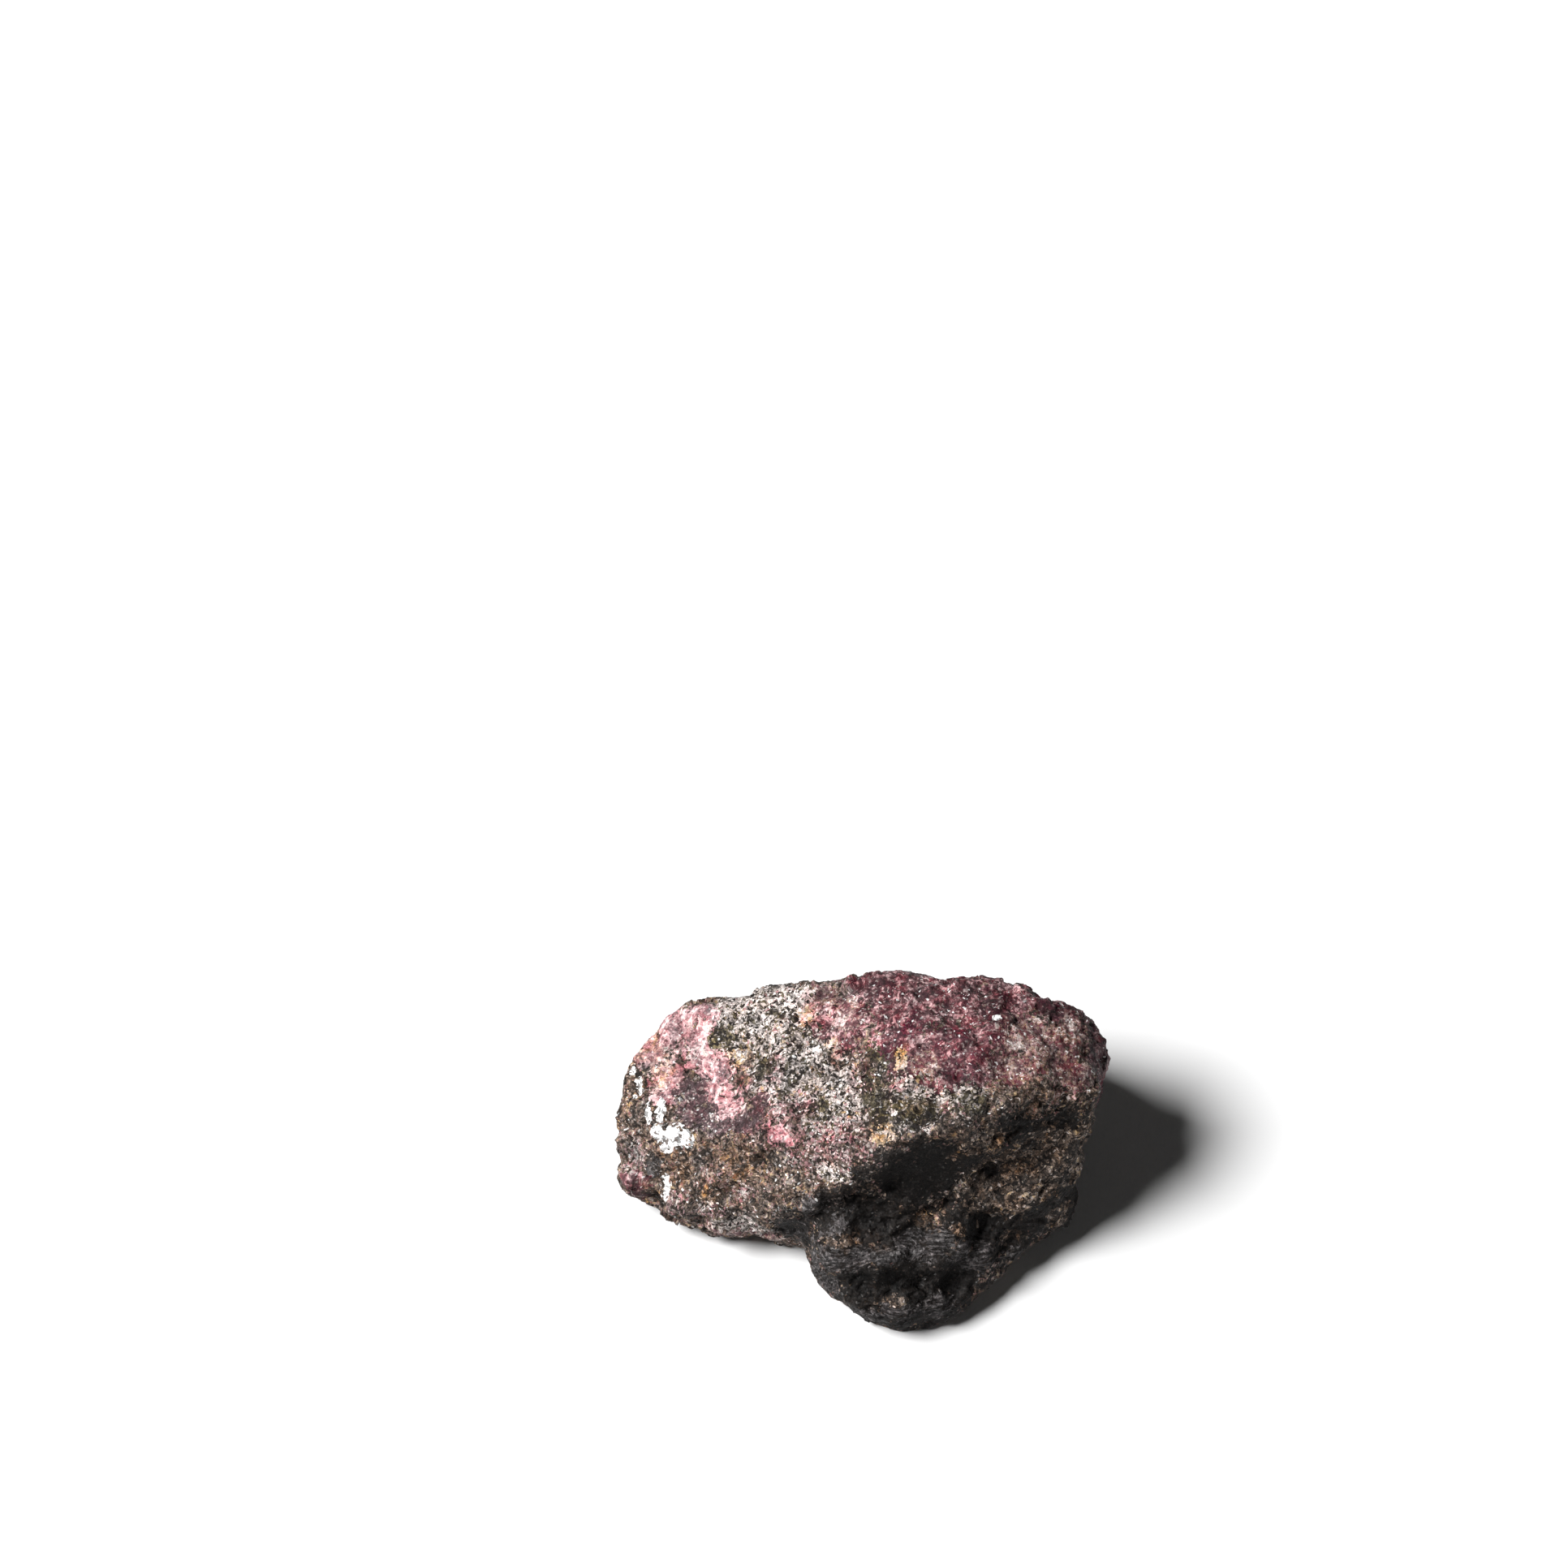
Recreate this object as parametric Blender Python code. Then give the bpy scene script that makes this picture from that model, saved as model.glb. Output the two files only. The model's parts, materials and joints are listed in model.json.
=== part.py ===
"""A rough rhodonite stone, 50 mm across, resting on a broad broken face.

One solid. It is roughed out as two convex blocks whose corners are the points
where the stone's broken faces meet: the main block, and the dark bulge that
stands out at the front. Ellipsoids scoop out the hollows and add the lumps.
A voxel remesh makes one skin of it all, smoothing wears the edges round, and
textures chip the skin. The underside is cut flat at z = 0, where it rests.

Run with: blender --background --python part.py
"""

import bmesh
import bpy
from mathutils import Matrix, Vector

MM = 0.001

# Corner points of the main block, in millimetres: x to the right, y away from
# the viewer, z up from the surface that the stone rests on.
TOP_FRONT_EDGE = [(-6, -13.4, 13), (3.2, -11.7, 21.2), (10.3, -9, 23.4), (17.1, -5.7, 22.2), (23.4, -4, 19.5)]
TOP_CREST = [(8.5, -1.8, 24.7), (15, 0.3, 23.7)]
TOP_BACK_EDGE_LEFT = [(-23, 6.8, 11), (-18.4, 10.3, 13), (-11.1, 9.1, 16.8), (-4.2, 9.1, 20)]
TOP_BACK_EDGE_RIGHT = [(6.9, 8.1, 22.9), (14.4, 7.6, 22.5), (21.2, 6.2, 20.5), (24.5, 4.6, 17.5), (25.2, 3, 15.5)]
LEFT_END = [(-25.3, -0.9, 8), (-24.4, -5.1, 6.5), (-16.9, -4.6, 11.2), (-22.5, -1, 11)]
FRONT_FOOT = [(-22.3, -7.1, 4.5), (-19.2, -9.9, 4.8), (-14.5, -11, 4.5), (-6, -12, 2), (19.6, -12, 2.6)]
RIGHT_END = [(21.3, -7.4, 3), (22.7, -0.9, 10), (23, 4, 4)]
BACK_FOOT = [(20, 11, 6), (5, 13.8, 9.5), (-11, 13.4, 6.5), (-20, 9, 5)]
GROUND_LINE_BACK = [(-18.5, -5, -1.5), (-17, 3.5, -1.5), (-8, 7.5, -1.5), (9, 9, -1.5), (19, 4.5, -1.5)]
GROUND_LINE_FRONT = [(19.5, -4.5, -1.5), (16.5, -9, -1.5), (11, -12.5, -1.5), (-7.5, -9.8, -1.5)]

# Corner points of the dark bulge in front, and of the rim that runs from it to the right.
BULGE_LEFT_RIDGE = [(-4.6, -16.6, 10.5), (-2.6, -18.4, 9.2), (-1.6, -19.6, 6.8), (0.4, -20.8, 4.6)]
BULGE_LEDGE = [(4.2, -17, 8.8), (9.6, -15.2, 9), (14.5, -13.2, 7.4)]
BULGE_BACK = [(-5.5, -10, 10.5), (2, -9, 12.5), (13, -8, 11.5), (17, -9, 8), (18.4, -12.2, 4.6)]
BULGE_RIM_LEFT = [(-4.7, -15.5, 3.5), (-2.9, -17.6, 3), (-0.8, -19.6, 2.8), (1.8, -21.2, 2.4), (4.5, -22, 2.6)]
BULGE_RIM_RIGHT = [(7.2, -21.3, 2.2), (9.6, -19.6, 2), (12.8, -16.8, 1.9), (15.2, -14.9, 2.2)]
BULGE_GROUND = [(-3, -12.5, -1.5), (0, -17.4, -1.5), (4.3, -19.6, -1.5), (8.5, -18, -1.5), (13, -11.5, -1.5)]

# Hollows that are scooped out and lumps that stand proud: name, centre and half-sizes in millimetres.
HOLLOWS = [
    ("dish_on_top", (-18.9, -1.8, 22.4), (11.5, 11.5, 10.7)),
    ("dark_hollow", (6.4, -14.8, 20.4), (4.8, 4.6, 4.8)),
    ("behind_the_ledge", (3.5, -14.6, 14), (7.6, 2.6, 3.2)),
    ("right_face_hollow", (15.5, -13.4, 14.5), (5.5, 4.6, 4.6)),
    ("groove_down_front", (-7, -16.6, 5), (1.3, 3.6, 4)),
    ("notch_on_right", (24.2, -4.5, 5.6), (3.2, 3, 4.6)),
    ("back_hollow", (-3, 16.5, 11), (8, 6, 5)),
    ("left_end_hollow", (-27.5, 3.5, 4), (5, 4, 3.5)),
    ("nick_at_back", (-8.2, 10.2, 20.3), (3.2, 2.4, 2.4)),
    ("broken_under_left", (-15.5, 4.5, -0.7), (6.5, 4, 2.4)),
    ("broken_under_back", (-8.5, 7.5, -0.6), (5, 4.2, 2)),
    ("broken_under_right", (16.6, -8.6, -0.8), (7, 4.2, 2.5)),
    ("broken_under_bulge", (-3.5, -13.5, -0.7), (4.4, 3, 2.2)),
]
LUMPS = [
    ("left_knob", (-21.8, -4.6, 4.6), (3.1, 3.1, 3.1)),
    ("left_foot_lump", (-16.6, -6.6, 5), (4.4, 3.8, 3.4)),
    ("middle_foot_lump", (-11.4, -7.5, 4.6), (3.6, 3.8, 3.3)),
    ("right_knob", (19.6, -8, 3.6), (2.4, 2.6, 2.4)),
    ("back_lump", (10, 9.6, 5), (6.5, 4, 4.2)),
]

VOXEL = 1.07 * MM
WEAR_PASSES = 3
BLUNTING = 0.35

# Relief that textures press into the skin: type, grain size and height in millimetres.
RELIEF = [
    ("broad_swell", "CLOUDS", 9, 1.1),
    ("chips", "VORONOI", 4.6, 1.35),
    ("small_lumps", "CLOUDS", 2.6, 1),
]
SURFACE_COLOUR = (0.36, 0.22, 0.24, 1.0)
SURFACE_ROUGHNESS = 0.6


def clear_scene():
    for obj in list(bpy.data.objects):
        bpy.data.objects.remove(obj)


def link(name, mesh, helper=False):
    obj = bpy.data.objects.new(name, mesh)
    bpy.context.scene.collection.objects.link(obj)
    if helper:
        obj.hide_render = True
        obj.display_type = "WIRE"
    return obj


def block(name, corners, helper=False):
    """The convex solid that reaches out to these corner points."""
    bm = bmesh.new()
    for corner in corners:
        bm.verts.new(Vector(corner) * MM)
    bmesh.ops.convex_hull(bm, input=bm.verts)
    inside = [v for v in bm.verts if not v.link_faces]
    bmesh.ops.delete(bm, geom=inside, context="VERTS")
    bmesh.ops.recalc_face_normals(bm, faces=bm.faces)
    mesh = bpy.data.meshes.new(name)
    bm.to_mesh(mesh)
    bm.free()
    return link(name, mesh, helper)


def ellipsoid(name, centre, half_sizes):
    bm = bmesh.new()
    bmesh.ops.create_icosphere(bm, subdivisions=4, radius=1)
    size = Matrix.Diagonal((*(Vector(half_sizes) * MM), 1))
    bm.transform(Matrix.Translation(Vector(centre) * MM) @ size)
    mesh = bpy.data.meshes.new(name)
    bm.to_mesh(mesh)
    bm.free()
    return link(name, mesh, helper=True)


def boolean(obj, other, operation):
    cut = obj.modifiers.new(other.name, "BOOLEAN")
    cut.operation = operation
    cut.solver = "EXACT"
    cut.object = other


def press_relief(obj, name, kind, grain, height):
    texture = bpy.data.textures.new(name, kind)
    texture.noise_scale = grain * MM
    press = obj.modifiers.new(name, "DISPLACE")
    press.texture = texture
    press.strength = height * MM


def middle_of(bm):
    """The middle of the bounding box in plan."""
    x = [v.co.x for v in bm.verts]
    y = [v.co.y for v in bm.verts]
    return Vector(((min(x) + max(x)) / 2, (min(y) + max(y)) / 2, 0))


def finished(obj):
    """Applies the modifiers, cuts the underside flat at z = 0 and centres the stone over the origin."""
    graph = bpy.context.evaluated_depsgraph_get()
    mesh = bpy.data.meshes.new_from_object(obj.evaluated_get(graph))
    bm = bmesh.new()
    bm.from_mesh(mesh)
    everything = bm.verts[:] + bm.edges[:] + bm.faces[:]
    cut = bmesh.ops.bisect_plane(bm, geom=everything, plane_co=(0, 0, 0), plane_no=(0, 0, 1), clear_inner=True)
    rim = [e for e in cut["geom_cut"] if isinstance(e, bmesh.types.BMEdge)]
    bmesh.ops.triangle_fill(bm, edges=rim, use_beauty=True, normal=(0, 0, -1))
    bmesh.ops.recalc_face_normals(bm, faces=bm.faces)
    bmesh.ops.translate(bm, verts=bm.verts, vec=-middle_of(bm))
    bm.to_mesh(mesh)
    bm.free()
    obj.modifiers.clear()
    obj.data = mesh
    mesh.shade_smooth()


def stone_finish():
    material = bpy.data.materials.new("rhodonite")
    material.use_nodes = True
    shader = material.node_tree.nodes["Principled BSDF"]
    shader.inputs["Base Color"].default_value = SURFACE_COLOUR
    shader.inputs["Roughness"].default_value = SURFACE_ROUGHNESS
    shader.inputs["Metallic"].default_value = 0
    return material


def build_stone():
    top = TOP_FRONT_EDGE + TOP_CREST + TOP_BACK_EDGE_LEFT + TOP_BACK_EDGE_RIGHT
    foot = LEFT_END + FRONT_FOOT + RIGHT_END + BACK_FOOT + GROUND_LINE_BACK + GROUND_LINE_FRONT
    stone = block("rhodonite_stone", top + foot)
    rim = BULGE_RIM_LEFT + BULGE_RIM_RIGHT
    bulge = block("bulge", BULGE_LEFT_RIDGE + BULGE_LEDGE + BULGE_BACK + rim + BULGE_GROUND, helper=True)
    boolean(stone, bulge, "UNION")
    for name, centre, half_sizes in HOLLOWS:
        boolean(stone, ellipsoid(name, centre, half_sizes), "DIFFERENCE")
    for name, centre, half_sizes in LUMPS:
        boolean(stone, ellipsoid(name, centre, half_sizes), "UNION")
    skin = stone.modifiers.new("one_skin", "REMESH")
    skin.mode = "VOXEL"
    skin.voxel_size = VOXEL
    wear = stone.modifiers.new("worn_edges", "SMOOTH")
    wear.iterations = WEAR_PASSES
    for name, kind, grain, height in RELIEF:
        press_relief(stone, name, kind, grain, height)
    last = stone.modifiers.new("blunted_tips", "SMOOTH")
    last.factor = BLUNTING
    finished(stone)
    stone.data.materials.clear()
    stone.data.materials.append(stone_finish())


def main():
    clear_scene()
    build_stone()


main()
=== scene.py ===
import json
import math

import bpy
from bpy.props import FloatProperty, FloatVectorProperty, IntProperty, PointerProperty
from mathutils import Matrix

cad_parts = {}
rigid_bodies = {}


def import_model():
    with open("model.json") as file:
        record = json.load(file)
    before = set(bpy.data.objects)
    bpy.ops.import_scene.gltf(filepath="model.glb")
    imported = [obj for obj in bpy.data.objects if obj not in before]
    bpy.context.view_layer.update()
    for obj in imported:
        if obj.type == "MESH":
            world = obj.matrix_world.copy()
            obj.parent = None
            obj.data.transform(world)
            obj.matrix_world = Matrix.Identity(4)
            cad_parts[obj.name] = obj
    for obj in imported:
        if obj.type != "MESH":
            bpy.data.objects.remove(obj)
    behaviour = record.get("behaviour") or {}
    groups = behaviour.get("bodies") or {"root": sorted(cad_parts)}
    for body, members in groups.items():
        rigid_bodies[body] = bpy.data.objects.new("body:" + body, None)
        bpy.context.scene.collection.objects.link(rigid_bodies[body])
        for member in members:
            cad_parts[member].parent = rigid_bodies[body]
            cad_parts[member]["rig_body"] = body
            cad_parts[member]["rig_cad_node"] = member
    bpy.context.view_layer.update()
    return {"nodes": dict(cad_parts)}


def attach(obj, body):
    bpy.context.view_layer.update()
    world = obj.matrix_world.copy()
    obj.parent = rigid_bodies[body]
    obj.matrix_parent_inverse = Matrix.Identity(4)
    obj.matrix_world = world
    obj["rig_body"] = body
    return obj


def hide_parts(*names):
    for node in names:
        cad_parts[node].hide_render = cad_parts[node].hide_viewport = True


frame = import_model()

bl_info = {
    "name": "Rough rhodonite stone",
    "version": (1, 0, 0),
    "blender": (4, 5, 0),
    "location": "3D View > Sidebar > Rhodonite",
    "description": "Builds a rough rhodonite stone and the plain floor, light and camera it is seen with",
    "category": "Object",
}

NODE = "rhodonite_stone"
MM = 0.001
HALF = (0.5, 0.5, 0.5)

# Where each mineral lies on the stone, in millimetres: x, y and z of a patch's middle, half its width and
# half its height. A zone lies over those before it, and brown lies under them all.
ZONES = {
    # Dark manganese mineral, its grains made darker than the mineral itself so that they also carry painted
    # shade on the front wall, the saddle above the bulge and the bulge.
    "charcoal_and_shade": [
        (5.9, -6.0, 15.6, 5.6, 5.6), (0.5, -10.5, 10.0, 7.4, 4.8), (5.0, -15.4, 6.0, 10.5, 6.4),
        (14.5, -7.6, 10.0, 8.0, 7.6), (20.5, -4.5, 9.0, 5.0, 7.4), (22.5, 1.5, 8.0, 4.6, 6.6),
        (13.5, -4.6, 17.6, 6.5, 3.6), (20.5, -3.4, 15.6, 4.4, 4.0), (-6.4, -9.0, 8.0, 2.4, 2.6),
        (2.0, 14.0, 5.0, 7.0, 5.0),
    ],
    "slate": [
        (-21.2, -2.2, 8.4, 0.9, 1.1), (-3.4, -9.2, 12.6, 2.8, 1.9), (-6.9, -9.4, 8.0, 1.9, 1.3),
        (-3.1, -10.7, 10.8, 1.7, 1.3),
    ],
    "gritty": [
        (11.6, -6.7, 13.3, 3.1, 2.6), (15.7, -4.9, 14.3, 4.2, 2.9), (18.7, -3.6, 14.9, 3.1, 2.6),
        (13.7, -7.4, 10.5, 3.6, 2.1), (17.8, -6.3, 11.4, 3.1, 2.6), (20.0, -6.3, 5.6, 1.9, 1.6),
        (12.5, -6.0, 19.0, 3.1, 1.9), (21.8, -1.0, 12.0, 3.4, 5.0), (22.6, 3.0, 9.0, 3.0, 4.0),
        (19.0, 11.0, 7.0, 4.0, 4.0), (-1.6, -11.9, 10.2, 2.2, 1.0), (9.8, -10.4, 9.7, 1.1, 0.8),
        (15.0, -9.1, 6.1, 1.4, 0.8), (6.0, -9.5, 10.5, 1.9, 0.8), (3.7, -16.7, 5.6, 1.7, 1.0),
    ],
    "fibrous": [
        (-3.2, -13.6, 9.2, 1.7, 1.6), (-0.5, -13.5, 9.4, 2.2, 1.2), (2.5, -12.9, 9.5, 2.5, 1.1),
        (5.6, -11.7, 9.1, 2.5, 1.3), (7.6, -11.4, 9.1, 1.7, 1.3), (10.0, -11.7, 8.0, 1.7, 1.4),
        (11.9, -11.7, 6.0, 1.9, 1.6), (14.9, -10.2, 4.2, 2.2, 0.8), (4.5, -16.8, 4.6, 3.1, 0.9),
        (8.0, -15.8, 4.3, 1.7, 1.4), (0.1, -16.7, 3.3, 2.2, 1.0), (-4.4, -12.3, 5.9, 1.1, 2.6),
        (-3.2, -13.8, 4.7, 1.1, 2.2), (-0.4, -15.4, 2.4, 1.6, 1.2),
    ],
    "mauve": [
        (-2.5, 7.9, 20.3, 3.6, 3.8), (4.2, 7.5, 23.5, 5.0, 3.8), (4.1, 2.9, 23.3, 3.9, 3.5),
        (9.4, 2.1, 24.6, 4.7, 4.2), (9.6, 8.3, 23.2, 4.7, 2.9), (14.1, 5.8, 23.7, 3.9, 4.2),
        (6.8, -0.3, 23.5, 3.6, 2.6), (12.1, -0.1, 23.5, 2.5, 1.9), (11.0, 12.0, 19.0, 7.0, 4.0),
        (18.5, 9.0, 19.0, 5.0, 4.0), (13.0, 14.5, 10.0, 6.0, 5.0), (-14.0, 15.0, 8.0, 4.0, 3.0),
        (24.0, 6.0, 15.0, 2.4, 5.0), (-12.6, -7.6, 6.5, 2.2, 1.3), (-22.5, -2.8, 6.2, 1.4, 1.9),
        (2.0, 11.5, 21.5, 5.0, 3.4), (8.5, 11.0, 22.0, 5.5, 3.4), (15.5, 9.5, 22.0, 4.6, 3.0),
    ],
    "wine": [
        (4.7, 5.0, 23.9, 1.9, 1.9), (3.1, 2.9, 22.8, 1.7, 1.9), (10.1, 0.4, 24.0, 1.7, 1.9),
        (8.9, 3.5, 24.4, 1.7, 1.4), (13.0, 3.6, 24.2, 1.7, 1.3), (18.1, 9.7, 21.4, 2.5, 1.3),
        (24.2, 5.6, 17.2, 1.8, 5.0), (-22.0, 8.6, 11.4, 1.0, 0.9), (14.0, 13.5, 14.0, 4.0, 2.6),
    ],
    # Pale rhodonite; its last two patches, on the left foot, are painted light, paler grains standing in for
    # light thrown up from the floor.
    "pale": [
        (-4.2, 10.8, 19.7, 2.5, 1.6), (-1.7, 7.9, 20.8, 1.7, 1.9), (17.6, 4.0, 22.4, 4.2, 2.9),
        (20.9, 5.2, 20.9, 1.8, 3.2), (15.1, 0.2, 22.6, 2.5, 1.6), (6.2, 0.8, 23.6, 1.7, 1.6),
        (13.5, 0.9, 22.9, 1.4, 1.3), (20.0, 1.6, 20.6, 3.0, 2.4), (-12.9, -7.5, 5.0, 2.8, 1.7),
        (-8.5, -7.9, 4.4, 1.9, 1.2),
    ],
    "pepper": [
        (-11.8, 10.0, 16.2, 3.9, 3.5), (-8.0, 6.0, 18.2, 3.9, 3.8), (-5.3, 2.3, 18.0, 4.2, 4.2),
        (-1.8, -0.4, 19.9, 3.9, 3.8), (-3.1, -3.1, 18.6, 4.2, 3.2), (4.3, -3.2, 22.5, 3.6, 2.9),
        (8.9, -3.2, 23.5, 3.1, 1.9), (-9.0, 1.8, 17.2, 2.5, 3.2), (-9.0, 14.0, 15.0, 5.0, 3.6),
    ],
    "chalk": [
        (-6.3, -4.7, 16.5, 2.5, 1.9), (-3.4, -6.1, 17.9, 3.3, 2.9), (0.9, -7.3, 19.5, 1.9, 1.9),
        (-7.4, -2.2, 17.6, 1.9, 1.9), (9.4, -4.0, 23.6, 1.7, 1.1), (1.9, -5.5, 20.9, 1.5, 1.4),
        (-18.9, -5.3, 6.7, 1.9, 1.3), (-15.6, -7.2, 7.8, 2.2, 1.3), (-9.3, -8.2, 5.8, 1.7, 0.8),
        (-15.0, -4.7, 11.1, 1.7, 1.1), (-11.8, -6.3, 10.7, 1.9, 1.0), (-23.0, -0.8, 8.0, 1.4, 1.3),
        (-18.9, -5.7, 5.9, 1.7, 1.0),
    ],
    # Painted light: a lighter copy of the pepper grains, laid where the surface gets little of the key
    # light: the back of the top, the left foot and one spot on the front edge.
    "painted_lit_pepper": [
        (-12.1, -7.7, 6.5, 2.8, 1.5), (-2.9, -7.2, 16.4, 2.0, 1.0), (-13.2, 12.8, 15.3, 2.6, 1.8),
        (-9.1, 11.2, 17.7, 3.6, 2.0), (-6.0, 11.4, 18.8, 2.0, 1.6),
    ],
    "cream": [
        (1.9, -5.5, 20.9, 1.4, 1.3), (-5.5, 9.2, 19.2, 0.8, 1.3), (3.9, 1.7, 22.7, 0.7, 1.2),
        (-2.8, 5.2, 19.9, 0.8, 0.8), (-12.2, 6.6, 15.2, 0.9, 0.8),
    ],
    # Darker grains in a band on the front wall under the ridge.
    "dark_ridge_band": [
        (-2.2, -8.8, 13.4, 2.2, 1.8), (-4.8, -9.7, 11.0, 1.7, 1.3), (0.4, -8.6, 17.9, 1.9, 1.4),
        (2.7, -7.9, 20.0, 1.9, 1.2), (5.1, -7.0, 21.2, 1.7, 0.9), (-7.2, -9.6, 8.2, 1.6, 1.2),
    ],
    # Painted shade: near-black grains laid in the broken hollow on the front, darker than the dark mineral
    # around it.
    "painted_hollow_shade": [(6.0, -6.4, 16.2, 4.4, 4.0), (3.6, -8.6, 13.4, 2.4, 1.6)],
    "pink": [
        (-16.4, 11.6, 14.0, 2.8, 1.9), (-19.0, 12.1, 12.8, 3.1, 2.2), (-20.9, 10.0, 11.5, 2.4, 2.6),
        (-16.5, 9.4, 14.0, 1.7, 3.8), (-14.8, 5.7, 13.2, 1.7, 3.8), (-13.4, 1.6, 13.3, 1.8, 2.2),
        (-19.7, 5.4, 11.8, 1.8, 2.6), (-8.4, -3.4, 16.2, 1.6, 1.4),
    ],
    "lilac": [
        (-16.8, 4.4, 11.8, 1.7, 1.9), (-16.1, 1.5, 12.2, 2.4, 1.4), (-11.8, -0.7, 14.5, 2.5, 1.1),
        (-10.4, -0.1, 16.3, 1.4, 1.6), (-14.2, -0.0, 12.9, 2.2, 1.0),
    ],
    "olive": [
        (-14.0, 9.0, 15.2, 1.4, 1.4), (1.2, -0.1, 21.0, 1.3, 3.6), (5.1, -4.2, 22.7, 2.5, 1.6),
        (10.7, -3.8, 23.6, 1.9, 1.1), (-9.6, 4.6, 16.7, 1.1, 1.3), (1.7, -3.2, 21.5, 1.0, 1.9),
        (-4.2, -1.4, 18.4, 1.4, 1.3),
    ],
    # Silvery flakes, painted near white so that they also carry the glint of the key light.
    "mica_glint": [
        (-23.1, 7.7, 10.7, 0.4, 0.5), (-22.4, 6.1, 10.5, 0.4, 1.1), (-21.5, 2.4, 10.9, 0.4, 1.0),
        (-20.1, 2.6, 11.1, 0.5, 1.3), (-20.5, 0.6, 10.5, 0.6, 1.0), (-18.9, -0.1, 10.8, 1.7, 1.1),
        (-19.4, -0.8, 9.9, 0.9, 0.6), (-17.6, -0.7, 11.5, 0.7, 0.8), (-19.7, -4.0, 7.3, 0.4, 1.3),
        (13.4, 5.9, 23.9, 0.4, 0.3), (-23.0, 4.7, 10.3, 0.2, 0.3), (-17.7, 2.7, 11.5, 0.2, 0.3),
    ],
}
# Zones of small patches, and zones whose colours run into each other as clouds.
SMALL_ZONES = ("slate", "cream", "olive", "mica_glint")
CLOUDY_ZONES = ("lilac", "mauve", "pale", "pink", "wine")

# How soft the edge of a patch is, as a share of its size.
ZONE_SOFTNESS = 0.55
SMALL_SOFTNESS = 0.5
STAIN_SOFTNESS = 0.6
SHAPE_SOFTNESS = 0.75
SMOOTH_SOFTNESS = 0.3
# How far the edge of a zone moves from grain to grain and from place to place.
EDGE_BY_GRAIN = 0.85
EDGE_BY_PLACE = 1.4

# Where the grains are stained, in the same form.
STAINS = {
    "rust": [
        (11.1, -6.5, 17.5, 2.5, 1.4), (15.7, -5.4, 13.1, 2.2, 1.0), (18.6, -6.7, 9.2, 1.2, 1.1),
        (9.8, -10.4, 9.7, 0.8, 0.8), (6.0, -9.5, 10.5, 2.5, 1.0), (-1.6, -11.9, 10.2, 2.5, 1.0),
        (1.2, -11.5, 9.7, 1.7, 1.0), (15.0, -9.1, 6.1, 1.4, 0.8), (13.5, -5.5, 18.6, 1.7, 1.0),
        (9.0, -6.9, 17.1, 1.4, 1.0), (0.7, -16.3, 5.5, 1.1, 1.0), (-12.8, -4.2, 12.5, 3.3, 1.9),
        (-18.9, -1.6, 9.6, 3.3, 1.3), (21.0, 8.0, 8.0, 3.0, 4.0), (-6.0, 14.0, 8.0, 5.0, 3.0),
        (-21.0, -4.0, 6.0, 2.2, 1.4),
    ],
    "ochre": [
        (1.9, -5.5, 20.9, 1.8, 1.8), (-2.8, 5.2, 19.9, 0.9, 1.0), (-5.5, 9.2, 19.2, 0.8, 1.1),
        (3.9, 1.7, 22.7, 0.8, 1.5), (-12.9, 6.6, 14.9, 0.7, 1.1), (-11.0, 6.5, 15.7, 0.7, 0.8),
        (-6.9, -2.5, 17.6, 0.8, 1.2), (20.9, -1.5, 18.1, 0.8, 0.6), (16.2, -2.8, 20.5, 2.5, 1.1),
        (10.2, -6.1, 19.6, 1.7, 1.3), (13.4, -1.8, 22.8, 1.2, 0.7), (-3.4, -6.4, 17.4, 1.3, 0.8),
        (18.4, -3.2, 17.2, 1.2, 0.8), (-16.1, -1.6, 11.8, 1.0, 0.6), (-8.0, -8.0, 12.5, 1.3, 0.8),
        (17.8, -1.2, 22.3, 1.7, 0.8), (7.8, -6.4, 21.7, 1.4, 0.9), (15.1, -4.4, 18.6, 1.4, 0.7),
        (12.4, -5.0, 21.4, 1.7, 0.7), (5.5, -3.5, 22.6, 1.6, 0.8), (4.0, 13.0, 14.0, 2.5, 1.4),
        (-12.0, 13.0, 10.0, 2.0, 1.4), (-21.7, 10.4, 10.8, 1.7, 1.9), (-20.0, 6.7, 12.1, 1.4, 1.9),
        (-11.7, -5.0, 12.8, 1.7, 1.3), (-15.3, -5.8, 9.8, 1.9, 1.3), (-18.0, -3.3, 8.7, 1.4, 1.0),
    ],
    "blush": [
        (-10.1, -1.4, 16.3, 2.5, 2.2), (-8.0, -3.0, 16.9, 2.2, 1.9), (-11.8, 3.3, 14.6, 1.4, 2.2),
        (-4.7, 9.6, 19.5, 1.9, 1.6), (-2.0, 6.4, 20.7, 1.9, 2.6), (0.1, 1.2, 20.8, 1.4, 1.9),
        (-5.8, -1.0, 17.7, 1.7, 1.6), (-9.0, 3.7, 17.3, 1.1, 1.9), (3.0, -0.7, 22.0, 1.7, 1.6),
        (-3.4, -5.6, 18.2, 1.9, 1.6), (-18.1, 6.6, 12.4, 1.1, 1.9), (-1.0, -5.3, 19.8, 1.7, 1.6),
    ],
}
# What each stain's colour is in the settings, and how strong the stain is.
STAIN_COLOURS = {"rust": ("rust", 0.65), "ochre": ("ochre", 0.7), "blush": ("rose", 0.75)}

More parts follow.
